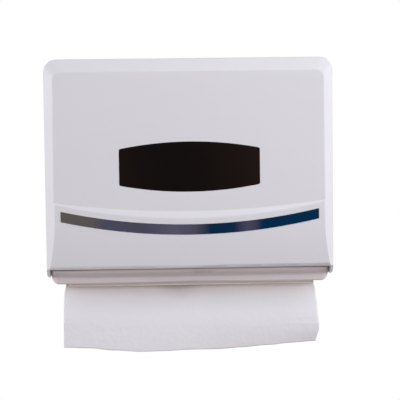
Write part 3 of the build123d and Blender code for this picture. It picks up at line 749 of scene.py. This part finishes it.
@dataclass
class HangingTowel:
    """The leading towel: two panels still folded under the stack, one let down through the mouth.

    The lower edge dips in the middle, the lower right corner turns back along a crease, and the
    tray's front lip dents the paper where it comes out of the mouth.
    """

    finishes: Finishes
    flat_width: float = 0.238
    flat_length: float = 0.240
    paper: float = 0.45 * MM
    layer: float = 0.7 * MM
    across: int = 170
    step: float = 1.2 * MM
    # the side view, from the panels under the stack down to the lower edge
    clearance: float = 0.05 * MM
    tucked: float = 17.0 * MM
    front: float = -0.0835
    rear: float = -0.0100
    mouth_y: float = -0.0500
    mouth_bend: float = 5.0 * MM
    knee_z: float = -0.0921
    knee_bend: float = 14.0 * MM
    fall_y: float = -0.0948
    fall_z: float = -0.1335
    fall_bend: float = 34.0 * MM
    end_y: float = -0.0990
    end_z: float = -0.1660
    # how much of the fall is still in the mouth, and where the paper comes free of the tray
    in_mouth: float = 0.18
    free_above: float = 8.0 * MM
    free_within: float = 14.0 * MM
    # how far the lower edge stands above its mean height, from left to right, in millimetres
    hem: tuple[float, ...] = (2.2, 1.3, -1.2, -2.8, -2.6, -2.0, -2.0, -0.8, 0.9, 2.7, 3.7)
    top_narrowing: float = 2.8 * MM
    foot_widening: float = 2.6 * MM
    widens_from: float = 0.12
    widening_rate: float = 4.5
    shift_left: float = 0.35 * MM
    creases: tuple[Crease, ...] = (
        Crease(1.0, -0.1452, 1.4 * MM, 1.3 * MM, 0.34 * MM, 0.55, 0.40),
        Crease(1.0, -0.1388, -0.8 * MM, 1.2 * MM, 0.12 * MM, 0.80, 0.20),
        Crease(-1.0, -0.1378, -5.0 * MM, 1.0 * MM, 0.13 * MM, 0.80, 0.18),
        Crease(-1.0, -0.1412, -7.5 * MM, 1.0 * MM, 0.13 * MM, 0.80, 0.18),
    )
    waves: tuple[Wave, ...] = (Wave(0.55 * MM, 5.3, 1.1, 0.0), Wave(0.30 * MM, 12.0, -0.7, 2.5))
    wave_at_top: float = 0.35
    buckles: Wave = Wave(0.22 * MM, 31.0, 0.0, 7.0)
    buckled_at: float = 0.32
    buckled_within: float = 0.25
    # the dent of the tray's lip
    dent_x: float = -0.0125
    dent_top_z: float = -0.1105
    dent_foot_z: float = -0.1245
    dent_depth: float = 5.0 * MM
    dent_tip: float = 2.0 * MM
    dent_spread: float = 14.0 * MM
    # below the fold line the paper turns back, and its right edge bulges and then draws in
    fold_z: float = -0.1452
    turned_height: float = 20.0 * MM
    turned_back: float = 4.2 * MM
    turned_from: float = -0.35
    turned_within: float = 1.3
    curled_back: float = 0.5 * MM
    edge_from: float = 0.60
    edge_within: float = 0.40
    edge_bulge: float = 1.3 * MM
    bulge_below: float = 3.0 * MM
    bulge_spread: float = 9.0 * MM
    edge_drawn_in: float = 2.0 * MM
    edge_back: float = 1.2 * MM
    drawn_in_below: float = 5.0 * MM
    drawn_in_within: float = 13.0 * MM

    def _route(self) -> list[tuple[float, float, float]]:
        """Corners of the towel's side view.

        Returns:
            Each corner's y, its z and the radius that rounds it.
        """
        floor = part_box("towel_stack")[0].z + self.paper / 2 + self.clearance
        fold = self.layer * 0.48
        return [
            (self.front + self.tucked, floor + 2 * self.layer, 0.0),
            (self.front, floor + 2 * self.layer, fold),
            (self.front, floor + self.layer, fold),
            (self.rear, floor + self.layer, fold),
            (self.rear, floor, fold),
            (self.mouth_y, floor, self.mouth_bend),
            (self.mouth_y, self.knee_z, self.knee_bend),
            (self.fall_y, self.fall_z, self.fall_bend),
            (self.end_y, self.end_z, 0.0),
        ]

    def _sampled(self) -> list[tuple[float, float]]:
        """The side view with its corners rounded.

        Returns:
            Points along it, as y and z, closer together where it bends sharply.
        """
        corners = self._route()
        line: list[tuple[float, float]] = [corners[0][:2]]
        for before, here, after in zip(corners, corners[1:], corners[2:]):
            middle, radius = Vector(here[:2]), here[2]
            back = (Vector(before[:2]) - middle).normalized()
            ahead = (Vector(after[:2]) - middle).normalized()
            half = back.angle(ahead) / 2
            reach = radius / math.tan(half)
            centre = middle + (back + ahead).normalized() * (radius / math.sin(half))
            start, end = middle + back * reach - centre, middle + ahead * reach - centre
            turn = start.angle_signed(end)
            count = max(5, int(abs(turn) * radius / self.step))
            for index in range(count + 1):
                spun = Matrix.Rotation(-turn * index / count, 2) @ start
                line.append(tuple(centre + spun))
        line.append(corners[-1][:2])
        return self._filled(line)

    def _filled(self, line: list[tuple[float, float]]) -> list[tuple[float, float]]:
        """Adds points to a line, until no two are further apart than the step.

        Args:
            line: The line's points.

        Returns:
            These points and the added ones, in order.
        """
        out = [line[0]]
        for start, end in zip(line, line[1:]):
            parts = max(1, math.ceil(math.dist(start, end) / self.step))
            for index in range(1, parts + 1):
                share = index / parts
                out.append(tuple(a + (b - a) * share for a, b in zip(start, end)))
        return out

    def _hem_rise(self, side: float) -> float:
        """How far the lower edge stands above its mean height.

        Args:
            side: Place across the towel, from -1 to 1.

        Returns:
            The rise, in metres.
        """
        last = len(self.hem) - 1
        place = min(max((side + 1.0) / 2.0 * last, 0.0), last - 1e-6)
        index = int(place)
        left, right = self.hem[index], self.hem[index + 1]
        return (left + (right - left) * smooth_step(place - index)) * MM

    def _ripple(self, side: float, fall: float) -> float:
        """Depth of the soft waves, which grow downwards, and of a band of small buckles.

        Args:
            side: Place across the towel, from -1 to 1.
            fall: 0 in the mouth and 1 at the lower edge.

        Returns:
            The depth, in metres.
        """
        soft = sum(wave.reach(side, fall) for wave in self.waves)
        grown = self.wave_at_top + (1.0 - self.wave_at_top) * fall
        small = self.buckles.reach(side, fall) * bell(fall, self.buckled_at, self.buckled_within)
        return soft * grown + small

    def _dent(self, x: float, z: float) -> float:
        """Depth of the lip's dent: a short wedge that narrows downwards to a point.

        Args:
            x: Distance from the middle.
            z: Height.

        Returns:
            The depth, in metres.
        """
        rise = (z - self.dent_foot_z) / (self.dent_top_z - self.dent_foot_z)
        share = min(max(rise, 0.0), 1.0)
        reach = self.dent_tip + self.dent_spread * share
        wedge = math.exp(-(abs((x - self.dent_x) / reach) ** 2.4)) * share**0.7
        return self.dent_depth * wedge

    def _corner_turn(self, side: float, z: float) -> tuple[float, float]:
        """How the paper below the fold line turns back and draws in, most of all at the right.

        Args:
            side: Place across the towel, from -1 to 1.
            z: Height.

        Returns:
            The moves along x and along y, in metres.
        """
        below = max(0.0, (self.fold_z - z) / self.turned_height)
        turned = below**1.5 * smooth_step((side - self.turned_from) / self.turned_within)
        back = self.turned_back * turned + self.curled_back * below**2
        right = smooth_step((side - self.edge_from) / self.edge_within)
        edge = right * smooth_step((self.fold_z - self.drawn_in_below - z) / self.drawn_in_within)
        bulge = right * bell(z, self.fold_z - self.bulge_below, self.bulge_spread)
        return self.edge_bulge * bulge - self.edge_drawn_in * edge, back + self.edge_back * edge

    def _shape(self, x: float, y: float, z: float, fall: float, let_out: float) -> Vector:
        """Bends the plain folded sheet into a soft one.

        Args:
            x: Distance from the middle.
            y: Depth in the side view.
            z: Height in the side view.
            fall: 0 in the mouth and 1 at the lower edge.
            let_out: 0 inside the tray and 1 below it.

        Returns:
            The point of the soft sheet.
        """
        side = x / (self.flat_width / 2)
        z += smooth_step(fall) * self._hem_rise(side)
        wider = self.foot_widening * smooth_step((fall - self.widens_from) * self.widening_rate)
        x += ((wider - self.top_narrowing) * side - self.shift_left) * let_out
        y += let_out * (self._ripple(side, fall) + self._dent(x, z))
        y -= let_out * sum(crease.reach(side, z) for crease in self.creases)
        aside, back = self._corner_turn(side, z)
        return Vector((x + aside, y + back, z))

    def build(self) -> bpy.types.Object:
        """Returns:
            The towel.
        """
        line = self._sampled()
        points, faces = [], []
        stack_low, tray_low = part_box("towel_stack")[0].z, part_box("towel_tray")[0].z
        lengths = [0.0]
        for before, here in zip(line, line[1:]):
            lengths.append(lengths[-1] + math.dist(before, here))
        start = next(length for (_, z), length in zip(line, lengths) if z < stack_low)
        whole = lengths[-1] - start
        for (y, z), length in zip(line, lengths):
            share = (length - start) / whole
            fall = min(1.0, max(0.0, share - self.in_mouth) / (1.0 - self.in_mouth))
            let_out = smooth_step((tray_low + self.free_above - z) / self.free_within)
            for column in range(self.across + 1):
                x = self.flat_width * (column / self.across - 0.5)
                points.append(self._shape(x, y, z, fall, let_out))
        row = self.across + 1
        for level in range(len(line) - 1):
            for column in range(self.across):
                corner = level * row + column
                faces.append((corner, corner + 1, corner + row + 1, corner + row))
        towel = mesh_piece("hanging_towel_sheet", points, faces)
        thick = towel.modifiers.new("paper", "SOLIDIFY")
        thick.thickness = self.paper
        thick.offset = 0.0
        settle(towel)
        self.finishes.dress(towel, Slot.PAPER)
        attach(towel, Body.BASE.value)
        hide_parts("hanging_towel")
        LOG.info("built %s: %.0f mm along its folds", towel.name, lengths[-1] / MM)
        return towel


# ------------------------------------------------------------------ geometry nodes
class NodeTree:
    """A Geometry Nodes tree with named inputs, built by short calls like a Board's."""

    def __init__(self, name: str) -> None:
        """Makes an empty tree that takes and gives a geometry.

        Args:
            name: The tree's name.
        """
        self.group = bpy.data.node_groups.new(name, "GeometryNodeTree")
        self.group.interface.new_socket("Geometry", in_out="INPUT", socket_type="NodeSocketGeometry")
        self.group.interface.new_socket("Geometry", in_out="OUTPUT", socket_type="NodeSocketGeometry")
        self.entry = self.group.nodes.new("NodeGroupInput")
        self.exit = self.group.nodes.new("NodeGroupOutput")
        self.values: dict[str, object] = {}

    def input(self, name: str, kind: str, value: object) -> bpy.types.NodeSocket:
        """Adds a named input and remembers the value that the modifier gets.

        Args:
            name: The input's name.
            kind: The end of its socket type, such as "Float" or "Int".
            value: The value for this object.

        Returns:
            The input's socket inside the tree.
        """
        item = self.group.interface.new_socket(name, in_out="INPUT", socket_type="NodeSocket" + kind)
        self.values[item.identifier] = value
        return self.entry.outputs[name]

    def add(
        self,
        kind: str,
        settings: dict[str, object] | None = None,
        inputs: dict[object, object] | None = None,
        output: object = 0,
    ) -> bpy.types.NodeSocket:
        """Adds one node of any type.

        Args:
            kind: The node's type.
            settings: Properties, which are set first.
            inputs: Values or sockets by socket name or number.
            output: The name or number of the output to return.

        Returns:
            The chosen output's socket.
        """
        node = self.group.nodes.new(kind)
        for key, value in (settings or {}).items():
            setattr(node, key, value)
        for key, value in (inputs or {}).items():
            if isinstance(value, bpy.types.NodeSocket):
                self.group.links.new(value, node.inputs[key])
            else:
                node.inputs[key].default_value = value
        return node.outputs[output]

    def maths(self, operation: str, first: object, second: object) -> bpy.types.NodeSocket:
        """One Math node on two values or sockets."""
        return self.add("ShaderNodeMath", {"operation": operation}, {0: first, 1: second})

    def random(self, low: object, high: object, seed: object) -> bpy.types.NodeSocket:
        """A seeded random number for each point.

        Args:
            low: The least value or its socket.
            high: The greatest value or its socket.
            seed: The seed or its socket.

        Returns:
            The number's socket.
        """
        inputs = {RANDOM_LOW: low, RANDOM_HIGH: high, "Seed": seed}
        return self.add("FunctionNodeRandomValue", {"data_type": "FLOAT"}, inputs, RANDOM_VALUE)

    def finish(self, instances: bpy.types.NodeSocket, material: bpy.types.Material) -> None:
        """Ends the tree in Realize Instances and Set Material.

        Args:
            instances: What the tree has made.
            material: The material of all its faces.
        """
        real = self.add("GeometryNodeRealizeInstances", None, {0: instances})
        dressed = self.add("GeometryNodeSetMaterial", None, {"Geometry": real, "Material": material})
        self.group.links.new(dressed, self.exit.inputs[0])

    def bake(self, seed_piece: bpy.types.Object) -> bpy.types.Object:
        """Runs the tree on a piece, leaves its result as plain mesh and removes the modifier.

        Args:
            seed_piece: The piece whose mesh goes into the tree.

        Returns:
            The same piece with the result as its mesh.
        """
        modifier = seed_piece.modifiers.new("nodes", "NODES")
        modifier.node_group = self.group
        for identifier, value in self.values.items():
            modifier[identifier] = value
        return settle(seed_piece)


@dataclass
class TowelStack:
    """The refill: interfolded towels laid flat on each other, each one a folded, soft-edged layer."""

    finishes: Finishes
    layers: int = 37
    thickness: float = 1.62 * MM
    pressed: float = 0.97
    edge: float = 0.62 * MM
    shift: float = 0.8 * MM
    depth_share: float = 0.7
    turn: float = 0.0035
    under: float = 2.0 * MM
    fold_steps: int = 6
    seed: int = 11

    def _layer(self, half_width: float, front: float, rear: float) -> bpy.types.Object:
        """One folded towel: a flat pad with a rounded fold in front and behind, open at its ends.

        Args:
            half_width: Half the towel's width.
            front: Depth of its front fold.
            rear: Depth of its rear fold.

        Returns:
            A piece whose lower face lies at height 0.
        """
        half = self.thickness / 2 * self.pressed
        profile: list[tuple[float, float]] = []
        for middle, start in ((front + half, math.pi / 2), (rear - half, -math.pi / 2)):
            for index in range(self.fold_steps + 1):
                angle = start + math.pi * index / self.fold_steps
                profile.append((middle + half * math.cos(angle), half + half * math.sin(angle)))
        stations = [half_width * share for share in (-1.0, -0.6, 0.0, 0.6, 1.0)]
        points = [(x, y, z) for x in stations for y, z in profile]
        faces = [face[::-1] for face in tube_faces(len(stations), len(profile))]
        return mesh_piece("towel_stack_layers", points, faces)

    def build(self) -> bpy.types.Object:
        """Lays the layers on each other, each a little shifted and turned.

        Returns:
            The stack.
        """
        low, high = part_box("towel_stack")
        start = low.z + self.under
        layer = self._layer(high.x - self.edge, low.y + self.edge, high.y - self.edge)
        tree = NodeTree("towel_layers")
        count = tree.input("Layers", "Int", self.layers)
        pitch = tree.input("Pitch", "Float", (high.z - start) / self.layers)
        base = tree.input("Lowest layer", "Float", start)
        shift = tree.input("Largest shift", "Float", self.shift)
        turn = tree.input("Largest turn", "Float", self.turn)
        seed = tree.input("Seed", "Int", self.seed)
        row = tree.add(
            "GeometryNodeMeshLine",
            None,
            {
                "Count": count,
                "Start Location": tree.add("ShaderNodeCombineXYZ", None, {"Z": base}),
                "Offset": tree.add("ShaderNodeCombineXYZ", None, {"Z": pitch}),
            },
        )
        seeds = [tree.maths("ADD", seed, float(step)) for step in range(3)]
        back = tree.maths("MULTIPLY", shift, -1.0)
        aside, ahead = (tree.random(back, shift, number) for number in seeds[:2])
        ahead = tree.maths("MULTIPLY", ahead, self.depth_share)
        offset = tree.add("ShaderNodeCombineXYZ", None, {"X": aside, "Y": ahead})
        moved = tree.add("GeometryNodeSetPosition", None, {"Geometry": row, "Offset": offset})
        spin = tree.random(tree.maths("MULTIPLY", turn, -1.0), turn, seeds[2])
        placed = tree.add(
            "GeometryNodeInstanceOnPoints",
            None,
            {
                "Points": moved,
                "Instance": tree.entry.outputs["Geometry"],
                "Rotation": tree.add("ShaderNodeCombineXYZ", None, {"Z": spin}),
            },
        )
        tree.finish(placed, self.finishes.made[Slot.PAPER])
        stack = tree.bake(layer)
        stack.data.shade_smooth()
        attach(stack, Body.BASE.value)
        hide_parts("towel_stack")
        LOG.info("laid %s: %d folded towels", stack.name, self.layers)
        return stack


# ------------------------------------------------------------------ lamps and camera
@dataclass
class Studio:
    """Pale floor and world, soft lamps, and a camera square to the object's front."""

    aim: tuple[float, float, float] = (0.0095, -0.091, -0.0282)
    distance: float = 1.25
    frame_width: float = 0.3736
    azimuth: float = -2.03
    elevation: float = 3.69
    roll: float = 0.70
    lamp_aim: tuple[float, float, float] = (0.0, -0.06, -0.03)
    floor_z: float = -1.20
    floor_half: float = 12.0
    floor_shades: tuple = ((0.64, 0.57, 0.55), (0.68, 0.61, 0.59))
    soft_light: float = 0.35
    sky: tuple = ((0.30, (0.88, 0.74, 0.66)), (0.62, (1.0, 1.0, 1.0)))

    def camera(self) -> None:
        """Makes the camera and sets it as the scene's."""
        turn, tilt = math.radians(self.azimuth), math.radians(self.elevation)
        back = Vector(
            (math.sin(turn) * math.cos(tilt), -math.cos(turn) * math.cos(tilt), math.sin(tilt))
        )
        data = bpy.data.cameras.new("camera")
        data.sensor_width = 36.0
        data.lens = data.sensor_width * self.distance / self.frame_width
        data.clip_start, data.clip_end = 0.05, 50.0
        camera = bpy.data.objects.new("camera", data)
        upright = (-back).to_track_quat("-Z", "Y").to_matrix()
        rolled = upright @ Matrix.Rotation(-math.radians(self.roll), 3, "Z")
        camera.matrix_world = Matrix.LocRotScale(
            Vector(self.aim) + back * self.distance, rolled.to_quaternion(), None
        )
        bpy.context.scene.collection.objects.link(camera)
        bpy.context.scene.camera = camera

    def lamp(self, name: str, place: tuple, size: float, power: float) -> None:
        """Adds a square area lamp that faces the object's middle.

        Args:
            name: The lamp's name.
            place: Where it hangs.
            size: The length of its side.
            power: Its power in watts.
        """
        data = bpy.data.lights.new(name, "AREA")
        data.size, data.energy = size, power
        lamp = bpy.data.objects.new(name, data)
        lamp.location = place
        toward = Vector(self.lamp_aim) - Vector(place)
        lamp.rotation_euler = toward.to_track_quat("-Z", "Y").to_euler()
        bpy.context.scene.collection.objects.link(lamp)

    def lamps(self) -> None:
        """One far to each side, one in front above the object and one out to the right."""
        self.lamp("right", (1.60, -0.45, 0.25), 1.0, 8.3)
        self.lamp("left", (-1.60, -0.45, 0.20), 1.0, 14.6)
        self.lamp("front_top", (0.35, -0.78, 0.72), 0.6, 3.8)
        self.lamp("front_right", (1.30, -1.30, 0.35), 0.9, 8.6)

    def _white_where_seen(
        self,
        tree: bpy.types.NodeTree,
        shader: bpy.types.NodeSocket,
        white: bpy.types.NodeSocket,
    ) -> bpy.types.NodeSocket:
        """Mixes a shader with a white one, which the camera, mirrors and glass see instead.

        Args:
            tree: The tree of the world or of a material.
            shader: The shader's socket.
            white: The white shader's socket.

        Returns:
            The mixed shader's socket.
        """
        path = tree.nodes.new("ShaderNodeLightPath")
        seen = path.outputs["Is Camera Ray"]
        for name in ("Is Glossy Ray", "Is Transmission Ray"):
            either = tree.nodes.new("ShaderNodeMath")
            either.operation = "MAXIMUM"
            tree.links.new(seen, either.inputs[0])
            tree.links.new(path.outputs[name], either.inputs[1])
            seen = either.outputs[0]
        mix = tree.nodes.new("ShaderNodeMixShader")
        for number, socket in enumerate((seen, shader, white)):
            tree.links.new(socket, mix.inputs[number])
        return mix.outputs[0]

    def world(self) -> None:
        """A pale world, cooler above and warmer below, that is plain white where it is seen."""
        world = bpy.data.worlds.new("studio")
        world.use_nodes = True
        tree = world.node_tree
        soft = tree.nodes["Background"]
        soft.inputs[1].default_value = self.soft_light
        place = tree.nodes.new("ShaderNodeTexCoord")
        height = tree.nodes.new("ShaderNodeSeparateXYZ")
        ramp = tree.nodes.new("ShaderNodeValToRGB")
        rise = tree.nodes.new("ShaderNodeMapRange")
        rise.inputs["From Min"].default_value = -1.0
        for element, (position, colour) in zip(ramp.color_ramp.elements, self.sky):
            element.position = position
            element.color = (*colour, 1.0)
        tree.links.new(place.outputs["Generated"], height.inputs[0])
        tree.links.new(height.outputs["Z"], rise.inputs["Value"])
        tree.links.new(rise.outputs[0], ramp.inputs[0])
        tree.links.new(ramp.outputs[0], soft.inputs[0])
        white = tree.nodes.new("ShaderNodeBackground")
        white.inputs[1].default_value = 1.0
        white.inputs[0].default_value = (1.0, 1.0, 1.0, 1.0)
        seen = self._white_where_seen(tree, soft.outputs[0], white.outputs[0])
        tree.links.new(seen, tree.nodes["World Output"].inputs["Surface"])
        bpy.context.scene.world = world

    def floor(self) -> None:
        """A wide pale floor, far below the hung object, that is plain white where it is seen."""
        half = self.floor_half
        corners = [(-half, -half), (half, -half), (half, half), (-half, half)]
        points = [(x, y, self.floor_z) for x, y in corners]
        floor = mesh_piece("floor", points, [(0, 1, 2, 3)], smooth=False)
        board = Board("pale_floor")
        board.set(Base_Color=board.mix(board.noise(3.0), *self.floor_shades), Roughness=0.8)
        tree = board.tree
        white = tree.nodes.new("ShaderNodeEmission")
        seen = self._white_where_seen(tree, board.shader.outputs[0], white.outputs[0])
        tree.links.new(seen, board.output.inputs["Surface"])
        floor.data.materials.append(board.material)

    def build(self) -> None:
        """Builds the whole studio."""
        bpy.context.scene.view_settings.view_transform = "Standard"
        self.camera()
        self.lamps()
        self.world()
        self.floor()


def main() -> None:
    """Builds everything in order."""
    logging.basicConfig(level=logging.INFO, format="%(name)s: %(message)s")
    for leftover in list(bpy.data.objects):
        bpy.data.objects.remove(leftover)
    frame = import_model()
    finishes = Finishes()
    finishes.build()
    RigidPieces(finishes).dress(frame)
    LensFace(finishes).build()
    HangingTowel(finishes).build()
    TowelStack(finishes).build()
    Studio().build()


if __name__ == "__main__":
    main()
